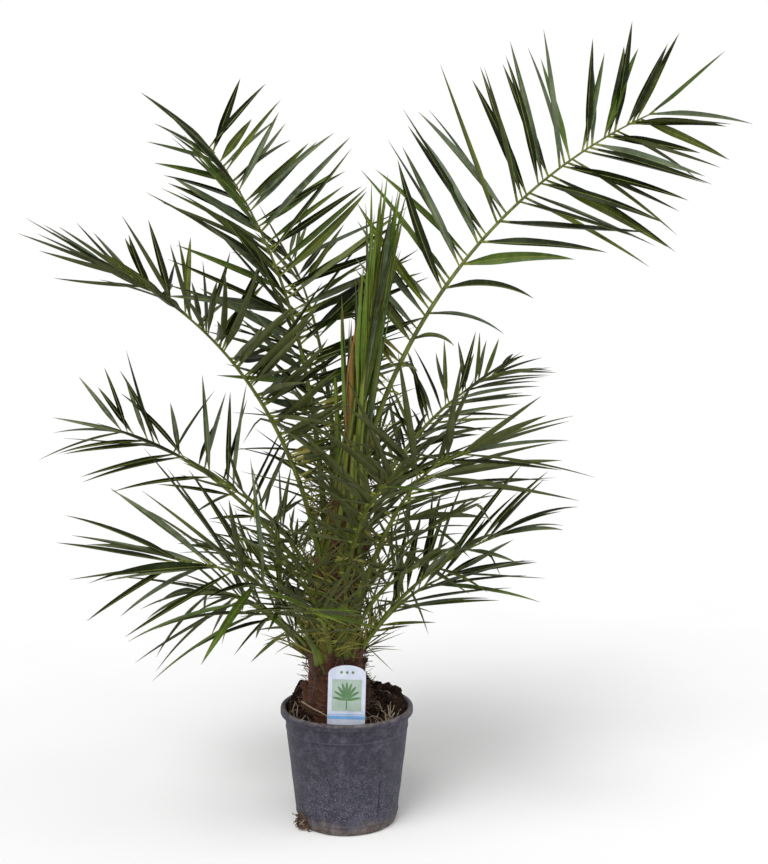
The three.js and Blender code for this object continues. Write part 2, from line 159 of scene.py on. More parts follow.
# Short inner fronds round the heart of the crown, whose leaflets cross in front of the trunk.
INNER_FRONDS = {
    f"inner_{number}": dict(
        azimuth=azimuth, height=height, rise=rise, droop=40, bend=1.3, sway=turn, length=length,
        stalk=0.16, roll=0, angle=(72, 26), lift=(25, 10), leaflet=0.135, sag=0.12, splay=14,
        pairs=17, tone=0.95, slim=0.8)
    for number, (azimuth, height, rise, turn, length) in enumerate((
        (-150, 0.33, 60, 12, 0.27), (-118, 0.32, 68, -10, 0.24), (-48, 0.30, 64, 10, 0.27),
        (-12, 0.36, 64, -12, 0.28), (178, 0.40, 66, 10, 0.30), (70, 0.42, 74, -8, 0.32),
        (-172, 0.28, 56, 8, 0.24)))
}

RACHIS_STEPS = 48
FIRST_LEAFLET, FULL_AT = 0.22, 0.45
LEAF_STEPS, LEAF_THICKNESS, SAG_POWER = 14, 0.0006, 1.6
SPINE_PAIRS, SPINE_THICKNESS = 12, 0.0007
RIB_SIDES, RIB_ROWS, RIB_AT_LEAFLETS, RIB_AT_TIP = 12, 60, 0.0056, 0.0014
BOOT_COLUMNS, BOOT_ROWS, BOOT_ABOVE = 15, 44, 0.045
X_AXIS, Y_AXIS, Z_AXIS = np.eye(3)
GOLDEN_TURN = 137.5


# ---- small sums ----

def mix(low, high, share):
    return low + (high - low) * share


def smooth(value):
    share = np.clip(value, 0.0, 1.0)
    return share * share * (3.0 - 2.0 * share)


def unit(vector):
    return vector / np.linalg.norm(vector)


def turned(vector, axis, angle):
    """The vector turned about a unit axis by an angle in radians."""
    return (vector * math.cos(angle) + np.cross(axis, vector) * math.sin(angle)
            + axis * np.dot(axis, vector) * (1.0 - math.cos(angle)))


def shares_of(steps):
    """Even shares from 0 to 1, in a number of steps."""
    return np.linspace(0.0, 1.0, steps + 1)


def around(count):
    """Even turns, once round, in radians."""
    return np.arange(count) * math.tau / count


def spot(reach, turn, height, centre=(0.0, 0.0)):
    """The point at a reach and a turn about the upright line through centre."""
    return np.array([centre[0] + reach * math.cos(turn), centre[1] + reach * math.sin(turn), height])


def outward(turn):
    return spot(1.0, turn, 0.0)


def rough(point, scale, seed=0.0):
    """Smooth noise from about -1 to 1 at a point, for features of about scale metres."""
    return noise.noise(Vector(point) / scale + Vector((seed, 3.1 * seed, 7.7 * seed)))


# ---- meshes ----

class Shape:
    """Points and faces with a material number each, gathered into one object."""

    def __init__(self):
        self.points, self.faces, self.paints, self.count = [], [], [], 0

    def add(self, points, faces, paint):
        points = np.asarray(points, dtype=float).reshape(-1, 3)
        self.points.append(points)
        self.faces.extend(tuple(self.count + index for index in face) for face in faces)
        self.paints.extend([paint] * len(faces) if isinstance(paint, int) else paint)
        self.count += len(points)

    def loft(self, rings, paint):
        """Joins rings of equal length, with both ends closed. paint may depend on row and column."""
        rings = np.asarray(rings, dtype=float)
        rows, columns = rings.shape[:2]
        pick = paint if callable(paint) else (lambda row, column: paint)
        faces, paints = [], []
        for row in range(rows - 1):
            low, high = row * columns, (row + 1) * columns
            for column in range(columns):
                following = (column + 1) % columns
                faces.append((low + column, low + following, high + following, high + column))
                paints.append(pick(row, column))
        faces.append(tuple(range(columns - 1, -1, -1)))
        faces.append(tuple(range((rows - 1) * columns, rows * columns)))
        self.add(rings, faces, paints + [pick(0, 0), pick(rows - 2, 0)])

    def tube(self, path, radii, sides, paint):
        """A round tube along a path, as thick as radii says at each point."""
        path = np.asarray(path, dtype=float)
        tangents = np.gradient(path, axis=0)
        across = np.cross(tangents[0], (0.31, 0.17, 0.93))
        turns = around(sides)[:, None]
        rings = []
        for point, tangent, radius in zip(path, tangents, np.broadcast_to(radii, len(path))):
            tangent = unit(tangent)
            across = unit(across - tangent * np.dot(tangent, across))
            other = np.cross(tangent, across)
            rings.append(point + radius * (np.cos(turns) * across + np.sin(turns) * other))
        self.loft(rings, paint)

    def make(self, name, materials, replaces, smooth_angle):
        mesh = bpy.data.meshes.new(name)
        mesh.from_pydata(np.concatenate(self.points).tolist(), [], self.faces)
        mesh.polygons.foreach_set("material_index", self.paints)
        mesh.update()
        for material in materials:
            mesh.materials.append(material)
        mesh.shade_smooth()
        mesh.set_sharp_from_angle(angle=math.radians(smooth_angle))
        piece = bpy.data.objects.new(name, mesh)
        bpy.context.collection.objects.link(piece)
        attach(piece, "root")
        if replaces:
            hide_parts(*replaces)


# ---- materials ----

class Paint:
    """A procedural material. Its pattern comes from the object's own coordinates."""

    def __init__(self, name, roughness, specular=0.5, sheen=0.0):
        self.material = bpy.data.materials.new(name)
        self.material.use_nodes = True
        self.tree = self.material.node_tree
        self.shader = self.tree.nodes["Principled BSDF"]
        values = {"Roughness": roughness, "Specular IOR Level": specular, "Sheen Weight": sheen}
        self.fill(self.shader, values)
        self.place = self.node("ShaderNodeTexCoord", {}).outputs["Object"]

    def fill(self, node, sockets):
        """Sets a node's sockets, by name or number, to values or to other nodes' outputs."""
        for socket, value in sockets.items():
            if isinstance(value, bpy.types.NodeSocket):
                self.tree.links.new(value, node.inputs[socket])
            else:
                node.inputs[socket].default_value = value

    def node(self, kind, sockets, **settings):
        made = self.tree.nodes.new(kind)
        for name, value in settings.items():
            setattr(made, name, value)
        self.fill(made, sockets)
        return made

    def upright(self, squeeze):
        """Coordinates that pull a pattern out along the height, for streaks."""
        sockets = {"Vector": self.place, "Scale": (1.0, 1.0, squeeze)}
        return self.node("ShaderNodeMapping", sockets).outputs["Vector"]

    def noise(self, scale, detail=4.0, roughness=0.55, place=None):
        sockets = {"Vector": place or self.place, "Scale": scale, "Detail": detail, "Roughness": roughness}
        return self.node("ShaderNodeTexNoise", sockets).outputs["Fac"]

    def cells(self, scale):
        sockets = {"Vector": self.place, "Scale": scale}
        return self.node("ShaderNodeTexVoronoi", sockets).outputs["Distance"]

    def ramp(self, source, *stops):
        """A colour or a grey from a pattern: two stops of (place, colour or grey)."""
        made = self.node("ShaderNodeValToRGB", {"Fac": source})
        for point, (where, colour) in zip(made.color_ramp.elements, stops):
            point.position = where
            point.color = (*colour, 1.0) if isinstance(colour, tuple) else (colour, colour, colour, 1.0)
        return made.outputs["Color"]

    def blend(self, share, first, second):
        """From the first colour or pattern to the second."""
        ends = [(*value, 1.0) if isinstance(value, tuple) else value for value in (first, second)]
        sockets = {"Factor": share, 6: ends[0], 7: ends[1]}
        return self.node("ShaderNodeMix", sockets, data_type="RGBA").outputs[2]

    def sums(self, operation, *values):
        """The result of a Math node's operation on patterns and numbers."""
        return self.node("ShaderNodeMath", dict(enumerate(values)), operation=operation).outputs["Value"]

    def colour(self, source):
        self.fill(self.shader, {"Base Color": source})

    def roughness(self, source, low, high):
        made = self.node("ShaderNodeMapRange", {"Value": source, "To Min": low, "To Max": high})
        self.fill(self.shader, {"Roughness": made.outputs["Result"]})

    def bump(self, source, distance, strength, **under):
        sockets = {"Height": source, "Distance": distance, "Strength": strength, **under}
        normal = self.node("ShaderNodeBump", sockets).outputs["Normal"]
        self.fill(self.shader, {"Normal": normal})
        return normal


def leaf_paint(name, dark, light, roughness=0.40, specular=0.20):
    """A leaf surface: a slow change of green, fine mottling and a slightly uneven gloss."""
    paint = Paint(name, roughness, specular)
    slow = paint.ramp(paint.noise(11.0, 3.0), (0.34, dark), (0.68, light))
    bloom = paint.ramp(paint.noise(95.0, 5.0), (0.45, 0.0), (0.8, 0.55))
    paint.colour(paint.blend(bloom, slow, tuple(min(1.0, 1.25 * part + 0.012) for part in light)))
    paint.roughness(paint.noise(60.0, 3.0), roughness - 0.1, roughness + 0.16)
    paint.bump(paint.noise(420.0, 3.0), 0.0004, 0.5)
    return paint.material


def stem_paint(name, dark, light, fleck):
    """A rib or petiole: lengthwise streaks, and small brown flecks."""
    paint = Paint(name, 0.5, 0.25)
    streaks = paint.noise(90.0, place=paint.upright(0.12))
    base = paint.ramp(streaks, (0.3, dark), (0.7, light))
    flecks = paint.ramp(paint.noise(150.0), (0.62, 0.0), (0.72, 0.8))
    paint.colour(paint.blend(flecks, base, fleck))
    paint.roughness(paint.noise(70.0), 0.36, 0.62)
    paint.bump(streaks, 0.0008, 0.5)
    return paint.material


def fibre_paint(name, dark, light):
    """Dull fibres: fine dark streaks, with lighter patches."""
    paint = Paint(name, 0.9, 0.2, 0.15)
    streaks = paint.noise(210.0, 6.0, place=paint.upright(0.16))
    patches = paint.ramp(paint.noise(38.0), (0.35, 0.15), (0.7, 0.95))
    fine = paint.ramp(streaks, (0.35, tuple(0.45 * part for part in dark)), (0.68, dark))
    paint.colour(paint.blend(patches, fine, light))
    paint.bump(streaks, 0.003, 0.9)
    return paint.material


GREENS = [
    # The first, near-black green stands in for leaflets that lie in shade: painted shade.
    leaf_paint("leaf_deep_painted_shade", (0.003, 0.006, 0.0005), (0.012, 0.019, 0.001), 0.44, 0.1),
    leaf_paint("leaf_olive", (0.0278, 0.0392, 0.0016), (0.0854, 0.1124, 0.0096)),
    leaf_paint("leaf_fresh", (0.026, 0.052, 0.0036), (0.088, 0.140, 0.018)),
    leaf_paint("leaf_grey", (0.030, 0.043, 0.018), (0.115, 0.145, 0.083), 0.46),
    leaf_paint("leaf_dull", (0.0057, 0.0097, 0.0017), (0.0304, 0.0421, 0.0127), 0.46, 0.12),
]
DEEP, OLIVE, FRESH, GREY, DULL, UNDER, MIDRIB, SPINE, DRY = range(9)
BACKS_AND_STALKS = [
    leaf_paint("leaf_underside", (0.032, 0.038, 0.007), (0.078, 0.088, 0.024), 0.55),
    leaf_paint("leaf_midrib", (0.110, 0.126, 0.016), (0.23, 0.24, 0.046), 0.45),
    leaf_paint("leaf_spine", (0.120, 0.122, 0.018), (0.265, 0.248, 0.060), 0.45),
    leaf_paint("leaf_dry_tip", (0.08, 0.045, 0.018), (0.20, 0.14, 0.065), 0.75),
]
LEAF_PAINTS = GREENS + BACKS_AND_STALKS
# In the order of LEAF_PAINTS, with the spear's own first three greens.
SPEAR_PAINTS = [
    leaf_paint("spear_deep", (0.024, 0.034, 0.002), (0.052, 0.066, 0.006)),
    leaf_paint("spear_yellow", (0.080, 0.088, 0.010), (0.155, 0.165, 0.028)),
    leaf_paint("spear_fresh", (0.0655, 0.1154, 0.0099), (0.1311, 0.2061, 0.0306)),
    GREENS[GREY], GREENS[DULL], *BACKS_AND_STALKS,
]
RIB_GREEN, PETIOLE, SHEATH, BROWN_STALK, DRY_STRIP = range(5)
RIB_PAINTS = [
    stem_paint("rib_green", (0.046, 0.064, 0.005), (0.145, 0.170, 0.024), (0.10, 0.055, 0.020)),
    stem_paint("petiole_green", (0.063, 0.101, 0.009), (0.172, 0.218, 0.028), (0.11, 0.060, 0.020)),
    fibre_paint("sheath_brown", (0.040, 0.012, 0.007), (0.110, 0.038, 0.020)),
    stem_paint("brown_stalk", (0.090, 0.046, 0.010), (0.200, 0.140, 0.028), (0.055, 0.024, 0.008)),
    fibre_paint("dry_strip", (0.186, 0.074, 0.022), (0.449, 0.217, 0.071)),
]


# ---- rachis and leaflets ----

def trunk_at(height):
    """The trunk's middle and radius at a height."""
    share = (height - TRUNK_FOOT[2]) / (TRUNK_TOP[2] - TRUNK_FOOT[2])
    centre = mix(TRUNK_FOOT, TRUNK_TOP, share)
    bent = smooth((share - TRUNK_BENDS_FROM) / (1.0 - TRUNK_BENDS_FROM))
    centre[0] = mix(TRUNK_FOOT[0], TRUNK_TOP[0], bent)
    flare = TRUNK_FLARE * (1.0 - smooth((height - TRUNK_FOOT[2]) / TRUNK_FLARE_HEIGHT))
    return centre, mix(TRUNK_FOOT_RADIUS, TRUNK_TOP_RADIUS, share) + flare


def rachis_of(frond):
    """The rachis from its foot to its tip: points, and the along, across and face directions."""
    centre, radius = trunk_at(frond["height"])
    point = centre + frond["root"] * radius * outward(math.radians(frond["azimuth"]))
    rows = []
    for step in range(RACHIS_STEPS + 1):
        share = min((step + 0.5) / RACHIS_STEPS, 1.0)
        slope = math.radians(frond["rise"] - frond["droop"] * share ** frond["bend"])
        heading = math.radians(frond["azimuth"] + frond["sway"] * share)
        along = math.cos(slope) * outward(heading) + math.sin(slope) * Z_AXIS
        level = outward(heading - math.pi / 2)
        face = np.cross(level, along)
        roll = math.radians((frond["roll"] + frond["twist"] * share) * smooth(share / frond["stalk"]))
        across = level * math.cos(roll) + face * math.sin(roll)
        rows.append((point, along, across, face * math.cos(roll) - level * math.sin(roll)))
        point = point + along * frond["length"] / RACHIS_STEPS
    return [np.array(row) for row in zip(*rows)]


def station(rachis, share):
    """The point and the three directions at a share of the rachis."""
    place = min(max(share, 0.0), 1.0) * RACHIS_STEPS
    index = min(int(place), RACHIS_STEPS - 1)
    point, *ways = [mix(rows[index], rows[index + 1], place - index) for rows in rachis]
    return point, *map(unit, ways)


def leaf_path(start, way, length, sag, rng, kinked=False):
    """The line along a leaflet: it sags, curls a little, and folds over where it is kinked."""
    axis = unit(np.cross(way, (rng.gauss(0, 1), rng.gauss(0, 1), rng.gauss(0, 1))))
    curl = rng.gauss(0, 0.12) / LEAF_STEPS
    fold_at = rng.uniform(0.35, 0.7) if kinked else 2.0
    path = [start]
    for step in range(LEAF_STEPS):
        share = (step + 0.5) / LEAF_STEPS
        way = turned(way, axis, curl)
        hang = sag * share ** SAG_POWER
        if share > fold_at:
            hang += 1.6 * smooth((share - fold_at) / 0.15)
        path.append(path[-1] + unit(way - hang * Z_AXIS) * length / LEAF_STEPS)
    return np.array(path)


def leaf_profile(share):
    """Half-width along a leaflet, as a share of its widest."""
    return (0.25 + 0.75 * smooth(share / 0.36)) * (1.0 - share ** 2.8) + 0.012


def add_leaflet(shape, path, up, half_width, fold, thickness, green, stalk_to, dry_from):
    """One leaflet: a closed blade folded to a V about its midrib, which is raised underneath."""
    last = len(path) - 1
    rings = []
    for row, (point, tangent) in enumerate(zip(path, np.gradient(path, axis=0))):
        share = row / last
        tangent = unit(tangent)
        face = unit(up - tangent * np.dot(up, tangent))
        side = np.cross(tangent, face)
        width = half_width * leaf_profile(share)
        angle = fold + (1.15 - fold) * (1.0 - smooth(share / 0.12)) * 0.8
        rise, reach = math.sin(angle) * width, math.cos(angle) * width
        middle = 0.5 * rise - 0.08 * width
        rib = min(0.00045, 0.2 * width)
        skin = thickness * (0.4 + 0.6 * (1.0 - share))
        keel = skin + 0.0012 * (1.0 - share) ** 1.2
        section = [(-reach, rise), (-0.5 * reach, middle), (-rib, 0.0002), (rib, 0.0002),
                   (0.5 * reach, middle), (reach, rise),
                   (0.5 * reach, middle - skin), (0.0, -keel), (-0.5 * reach, middle - skin)]
        rings.append([point + side * across + face * out for across, out in section])

    def paint(row, column):
        share = row / last
        if share < stalk_to:
            return SPINE if stalk_to > 0.1 else MIDRIB
        if share > dry_from:
            return DRY
        if column == 2:
            return MIDRIB
        return UNDER if column > 4 else green

    shape.loft(rings, paint)


def leaflet_length(frond, place):
    grown = FIRST_LEAFLET + (1.0 - FIRST_LEAFLET) * smooth(place / FULL_AT)
    return frond["leaflet"] * grown * mix(1.0, frond["tip"], smooth((place - 0.5) / 0.5))


def green_for(tone, rng):
    """A leaflet's green, by its frond's tone: some get the near-black deep green, painted shade, and the
    rest fresh, grey or olive, or else dull, grey or olive.
    """
    pick = rng.random()
    if pick < mix(0.42, 0.18, tone):
        return DEEP
    if rng.random() < tone:
        return FRESH if pick < 0.60 else (GREY if pick < 0.80 else OLIVE)
    return DULL if pick < 0.56 else (GREY if pick < 0.86 else OLIVE)


def leaflet_ways(frond):
    """Each leaflet's place on the rachis, side, angle and lift. They stand in groups of three."""
    pairs = frond["pairs"]
    for side in (1, -1):
        for number in range(pairs):
            within = number % 3 - 1
            place = (number + 0.3 * (side > 0) - 0.3 * within) / (pairs - 0.7)
            place = min(max(place, 0.0), 1.0)
            if side == frond["sparse_side"] and place < frond["sparse_to"] and number % 3:
                continue
            angle = mix(*frond["angle"], place ** frond["close"]) + side * frond["lean"]
            lift = mix(*frond["lift"], place) - (frond["drop"] if side > 0 else 0)
            yield place, side, angle + frond["splay"] * within, lift - 1.4 * frond["splay"] * within


def leaf_way(along, across, face, side, angle, lift):
    """A leaflet's direction: at an angle to the rachis, and lifted off its flat side."""
    angle, lift = math.radians(angle), math.radians(lift)
    return (math.cos(angle) * along + math.sin(angle) * math.cos(lift) * side * across
            + math.sin(angle) * math.sin(lift) * face)


def add_leaflets(shape, frond, rachis, rng):
    splay = frond["splay"]
    for place, side, angle, lift in leaflet_ways(frond):
        point, along, across, face = station(rachis, mix(frond["stalk"], 1.0, place))
        angle = max(angle + rng.gauss(0, splay), 4.0)
        lift += rng.gauss(0, 1.6 * splay)
        way = leaf_way(along, across, face, side, angle, lift)
        length = leaflet_length(frond, place) * rng.uniform(0.86, 1.04)
        kinked = place > 0.15 and rng.random() < frond["kinked"]
        sag = frond["sag"] * rng.uniform(0.3, 1.5)
        if side == frond["sparse_side"]:
            length *= mix(0.5, 1.0, smooth(place / frond["sparse_to"] - 0.1))
            sag += frond["sparse_sag"] * (1.0 - smooth(place / frond["sparse_to"]))
        path = leaf_path(point + 0.001 * face, way, length, sag, rng, kinked)
        up = turned(face, unit(way), side * math.radians(rng.gauss(-18, 28)))
        half_width = mix(0.0018, 0.0026 + 0.0215 * frond["leaflet"], smooth(place / 0.3))
        half_width *= rng.uniform(0.75, 1.1) * frond["slim"]
        fold = math.radians(rng.uniform(20, 44))
        green = green_for(frond["tone"], rng) if place > 0.08 else SPINE
        stalk_to = 0.035 if place > 0.2 else 0.3
        dry_from = rng.choice((0.93, 0.96, 1.1, 1.1))
        add_leaflet(shape, path, up, half_width, fold, LEAF_THICKNESS, green, stalk_to, dry_from)


def add_spines(shape, frond, rachis, rng):
    """The stiff yellow-green spines that stand on the petiole below the first leaflets."""
    for side in (1, -1):
        for number in range(SPINE_PAIRS):
            place = mix(0.35, 1.0, (number + rng.uniform(0.1, 0.9)) / SPINE_PAIRS)
            share = place * frond["stalk"]
            point, along, across, face = station(rachis, share)
            way = leaf_way(along, across, face, side, rng.gauss(58, 12), rng.gauss(30, 18))
            start = point + side * 0.6 * rib_half_width(frond, share) * across
            length = rng.uniform(0.05, 0.13) * (0.6 + 0.4 * place)
            path = leaf_path(start, way, length, 0.0, rng)[::2]
            half_width = rng.uniform(0.0012, 0.0022)
            add_leaflet(shape, path, face, half_width, 0.7, SPINE_THICKNESS, SPINE, 2, 2)


def rib_half_width(frond, share):
    stalk = frond["stalk"]
    if share < stalk:
        return mix(frond["foot"], RIB_AT_LEAFLETS, smooth(share / stalk))
    return mix(RIB_AT_LEAFLETS, RIB_AT_TIP, ((share - stalk) / (1.0 - stalk)) ** 0.8)


def rib_ring(point, across, face, half_width, half_depth):
    """A rib's section: rounded underneath, and flatter with a low ridge on top."""
    ring = []
    for turn in around(RIB_SIDES):
        height = math.sin(turn)
        ridge = 0.62 + 0.25 * height ** 6 if height > 0 else 1.0
        ring.append(point + across * half_width * math.cos(turn) + face * half_depth * height * ridge)
    return ring


def add_rib(shape, frond, rachis):
    shares = np.linspace(0.02, 1.0, RIB_ROWS + 1)
    rings = []
    for share in shares:
        point, _, across, face = station(rachis, share)
        half_width = rib_half_width(frond, share)
        half_depth = half_width * mix(0.62, 0.9, smooth(share / frond["stalk"]))
        rings.append(rib_ring(point, across, face, half_width, half_depth))
    petiole_rows = sum(share < 0.6 * frond["stalk"] for share in shares)
    shape.loft(rings, lambda row, column: PETIOLE if row < petiole_rows else RIB_GREEN)


def add_boot(shape, frond, rachis, rng):
    """The petiole's foot: a leaf base that widens downwards and clasps the trunk."""
    azimuth = math.radians(frond["azimuth"])
    drop = rng.uniform(0.065, 0.085)
    spread = math.radians(rng.uniform(38, 46))
    foot, tall = frond["height"] - drop, drop + BOOT_ABOVE
    join = 0.075 / frond["length"]
    rings = []
    for share in shares_of(BOOT_ROWS):
        height = foot + tall * share
        centre, radius = trunk_at(height)
        half_angle = mix(spread, 0.010 / radius, smooth(share * 1.05))
        thick = mix(0.0035, 0.0085, smooth(share))
        point, _, across, face = station(rachis, join * smooth((share - 0.35) / 0.65))
        half_width = rib_half_width(frond, join * share) * 1.04
        leave = smooth((share - 0.42) / 0.5)
        outer, inner = [], []
        for aside in np.linspace(-1.0, 1.0, BOOT_COLUMNS):
            turn = azimuth - aside * half_angle
            bulge = math.sqrt(max(0.0, 1.0 - aside ** 2))
            ridges = 0.0009 * math.sin(9.0 * aside + 3.0 * azimuth)
            ridges += 0.0034 * rough(outward(turn) + 9 * height, 0.16)
            stand = radius + 0.0015 + thick * bulge + ridges * (1.0 - leave)
            on_rib = point + across * half_width * aside
            top = on_rib - face * (0.64 * half_width * bulge + 0.0003)
            back = on_rib + face * (0.42 * half_width * bulge)
            outer.append(mix(spot(stand, turn, height, centre), top, leave))
            inner.append(mix(spot(radius - 0.004, turn, height, centre), back, leave))
        rings.append(outer + inner[::-1])
    brown_to = max(foot + 0.018, frond["brown_to"]) + rng.uniform(-0.006, 0.006)

    def paint(row, column):
        height = foot + tall * row / BOOT_ROWS
        ragged = 0.012 * rough((0.3 * column, 0.5, 20 * height), 0.8, azimuth)
        return SHEATH if height + ragged < brown_to else PETIOLE

    shape.loft(rings, paint)


def make_frond(name, sizes, number):
    frond = {**DEFAULTS, **sizes}
    rng = random.Random(100 + number)
    rachis = rachis_of(frond)
    nodes = [node for node in NODES if node == name or node.startswith(name + "_")]
    short_name = name.removeprefix("frond_")
    rib = Shape()
    add_rib(rib, frond, rachis)
    add_boot(rib, frond, rachis, rng)
    rib.make(f"rib_{short_name}", RIB_PAINTS, nodes, 50.0)
    leaflets = Shape()
    add_leaflets(leaflets, frond, rachis, rng)
    add_spines(leaflets, frond, rachis, rng)
    leaflets.make(f"leaflets_{short_name}", LEAF_PAINTS, nodes, 30.0)


# ---- spear ----

SPEAR_LEAFLETS, DRY_STRIPS = 52, 7
# Each stalk in the spear: its foot's place, its top, its half-width at the foot and its paint.
SPEAR_STALKS = [
    ((0.000, 0.004), (0.012, 0.004, 0.86), 0.0085, BROWN_STALK),
    ((0.012, 0.010), (0.040, 0.012, 0.90), 0.0100, PETIOLE),
    ((0.006, 0.022), (0.030, 0.020, 0.88), 0.0090, PETIOLE),
    ((-0.010, 0.016), (-0.020, 0.024, 0.80), 0.0080, PETIOLE),
]


def spear_path(share):
    """The spear's middle line, from the trunk's top to the tip of the folded leaflets."""
    foot = np.array([0.006, 0.012, SPEAR_LOW[2] - 0.03])
    middle = np.array([0.040, 0.012, 0.900])
    tip = np.array([0.086, 0.014, SPEAR_HIGH[2]])
    return (1 - share) ** 2 * foot + 2 * share * (1 - share) * middle + share ** 2 * tip


def add_spear_leaflet(shape, number, rng):
    place = (number + rng.random()) / SPEAR_LEAFLETS
    start_share = mix(0.06, 0.60, place)
    start, ahead = spear_path(start_share), spear_path(start_share + 0.05)
    side = 1 if number % 2 else -1
    fan = math.radians(side * mix(7.0 if side < 0 else 2.5, 3.0, place) + rng.gauss(0, 1.6))
    depth = math.radians(rng.gauss(0, 2.5))
    way = turned(turned(unit(ahead - start), Y_AXIS, fan), X_AXIS, depth)
    aside = side * rng.uniform(0.2, 1.0) * mix(0.020, 0.004, place)
    start = start + np.array([aside, rng.uniform(-0.010, 0.010), 0.0])
    length = mix(0.28, 0.235, place) * rng.uniform(0.8, 1.06)
    path = leaf_path(start, way, length, 0.0, rng)
    up = turned(-Y_AXIS, unit(way), rng.gauss(0, 0.6) + 0.4 * side)
    half_width = rng.uniform(0.0048, 0.0082)
    fold = math.radians(rng.uniform(30, 58))
    green = rng.choice((OLIVE, FRESH, FRESH, FRESH, DEEP, GREY))
    dry_from = rng.choice((0.92, 0.96, 1.1))
    add_leaflet(shape, path, up, half_width, fold, LEAF_THICKNESS, green, 0.0, dry_from)


def add_stalk(shape, low, high, foot_width, paint):
    """A smooth, slightly ribbed stalk between two points."""
    turns = around(14)
    ribbed = 1.0 + 0.10 * np.cos(5 * turns + low[0])
    rings = []
    for share in shares_of(24):
        x, y, height = mix(np.array(low), np.array(high), share)
        reach = mix(foot_width, 0.35 * foot_width, share ** 1.2) * ribbed
        ring = [x + reach * np.cos(turns), y + 0.8 * reach * np.sin(turns), np.full_like(turns, height)]
        rings.append(np.stack(ring, axis=1))
    shape.loft(rings, paint)


def add_dry_strip(shape, number, rng):
    """A dry brown strip that stands against the spear's left side."""
    top = mix(0.46, 0.62, rng.random())
    aside = rng.uniform(-0.004, 0.004) - 0.012
    shares = shares_of(14)
    path = []
    for share in shares:
        across = aside - 0.014 * smooth(1.5 * share) + 0.0015 * math.sin(9 * share + number)
        path.append(spear_path(mix(0.12, top, share)) + np.array([across, -0.010 + 0.002 * number, 0.0]))
    shape.tube(path, 0.0019 * (1 - shares ** 3) + 0.0003, 5, DRY_STRIP)


def make_spear():
    rng = random.Random(7)
    leaves = Shape()
    for number in range(SPEAR_LEAFLETS):
        add_spear_leaflet(leaves, number, rng)
    leaves.make("spear_leaflets", SPEAR_PAINTS, ["spear"], 30.0)
    stem = Shape()
    for place, high, foot_width, paint in SPEAR_STALKS:
        add_stalk(stem, (*place, SPEAR_LOW[2] - 0.06), high, foot_width, paint)
    for number in range(DRY_STRIPS):
        add_dry_strip(stem, number, rng)
    stem.make("spear_stem", RIB_PAINTS, ["spear"], 50.0)


# ---- trunk ----

FIBRE_MAT, OLD_BASE, LOOSE_FIBRE, GREEN_BASE = range(4)
TRUNK_PAINTS = [
    fibre_paint("fibre_mat", (0.026, 0.008, 0.004), (0.105, 0.034, 0.015)),
    fibre_paint("old_leaf_base", (0.034, 0.011, 0.005), (0.120, 0.044, 0.020)),
    fibre_paint("loose_fibres", (0.036, 0.014, 0.007), (0.210, 0.095, 0.042)),
    stem_paint("green_leaf_base", (0.0671, 0.1013, 0.0099), (0.1782, 0.22, 0.0288), (0.10, 0.05, 0.020)),
]
TRUNK_ROWS, TRUNK_COLUMNS = 150, 160
BASE_ROWS, BASE_COLUMNS = 10, 9
YOUNG_PETIOLES, FIBRES = 13, 1300
# The stem shows green between its fibres above the first height, and cut leaf bases above the second.
GREEN_STEM_FROM, GREEN_BASES_FROM = 0.42, 0.27


def bark_relief(turn, height):
    """How far the crossing fibres stand out, or lie in, at a place on the trunk."""
    place = spot(0.05, turn, height)
    weave = 0.0018 * math.sin(40 * turn + 260 * height) + 0.0012 * math.sin(46 * turn - 320 * height)
    return weave + 0.0050 * rough(place, 0.022, 1.0) + 0.0036 * rough(place, 0.008, 2.0)


def make_trunk_core():
    """The stem under its sheaths: a mat of crossing fibres, in relief."""
    shape = Shape()
    rings = []
    for height in np.linspace(TRUNK_LOW[2], TRUNK_HIGH[2], TRUNK_ROWS + 1):
        centre, radius = trunk_at(height)
        reach = radius - mix(0.003, 0.008, smooth((height - 0.42) / 0.15))
        rings.append([spot(reach + bark_relief(turn, height), turn, height, centre)
                      for turn in around(TRUNK_COLUMNS)])
    green_row = TRUNK_ROWS * (GREEN_STEM_FROM - TRUNK_LOW[2]) / (TRUNK_HIGH[2] - TRUNK_LOW[2])
    shape.loft(rings, lambda row, column:
               GREEN_BASE if row > green_row + 4 * math.sin(column) else FIBRE_MAT)
    shape.make("trunk_core", TRUNK_PAINTS, ["trunk"], 60.0)


def add_old_base(shape, azimuth, height, rng):
    """A cut leaf base: a scale that clasps the trunk and stands off it at its broken top."""
    tall = rng.uniform(0.055, 0.085)
    spread = math.radians(rng.uniform(28, 42))
    lean = rng.uniform(0.006, 0.018)
    rings = []
    for share in shares_of(BASE_ROWS):
        level = height + tall * share
        centre, radius = trunk_at(level)
        half_angle = spread * (1.0 - 0.84 * smooth(share))
        off = lean * share ** 2
        outer, inner = [], []
        for aside in np.linspace(-1.0, 1.0, BASE_COLUMNS):
            turn = azimuth + aside * half_angle
            bulge = math.sqrt(max(0.0, 1.0 - aside ** 2))
            torn = level + 0.008 * rough((aside, azimuth, height), 0.3) * share
            stand = 0.001 + off + mix(0.003, 0.006, share) * bulge
            stand += 0.0032 * rough((centre[0], centre[1], torn), 0.007)
            outer.append(spot(radius + stand, turn, torn, centre))
            inner.append(spot(radius - 0.004 + off, turn, torn, centre))
        rings.append(outer + inner[::-1])
    green = height > GREEN_BASES_FROM
    shape.loft(rings, lambda row, column:
               GREEN_BASE if green and 2 <= column <= 5 and row > 1 else OLD_BASE)


def make_old_bases():
    """Two spirals of cut leaf bases: a close one at the foot, and one up the whole trunk."""
    rng = random.Random(21)
    shape = Shape()
    for count, lowest, highest in ((9, 0.172, 0.215), (17, 0.196, 0.47)):
        for number in range(count):
            azimuth = number * math.radians(GOLDEN_TURN) + rng.uniform(-0.15, 0.15)
            add_old_base(shape, azimuth, mix(lowest, highest, number / (count - 1)), rng)
    shape.make("old_leaf_bases", TRUNK_PAINTS, (), 55.0)


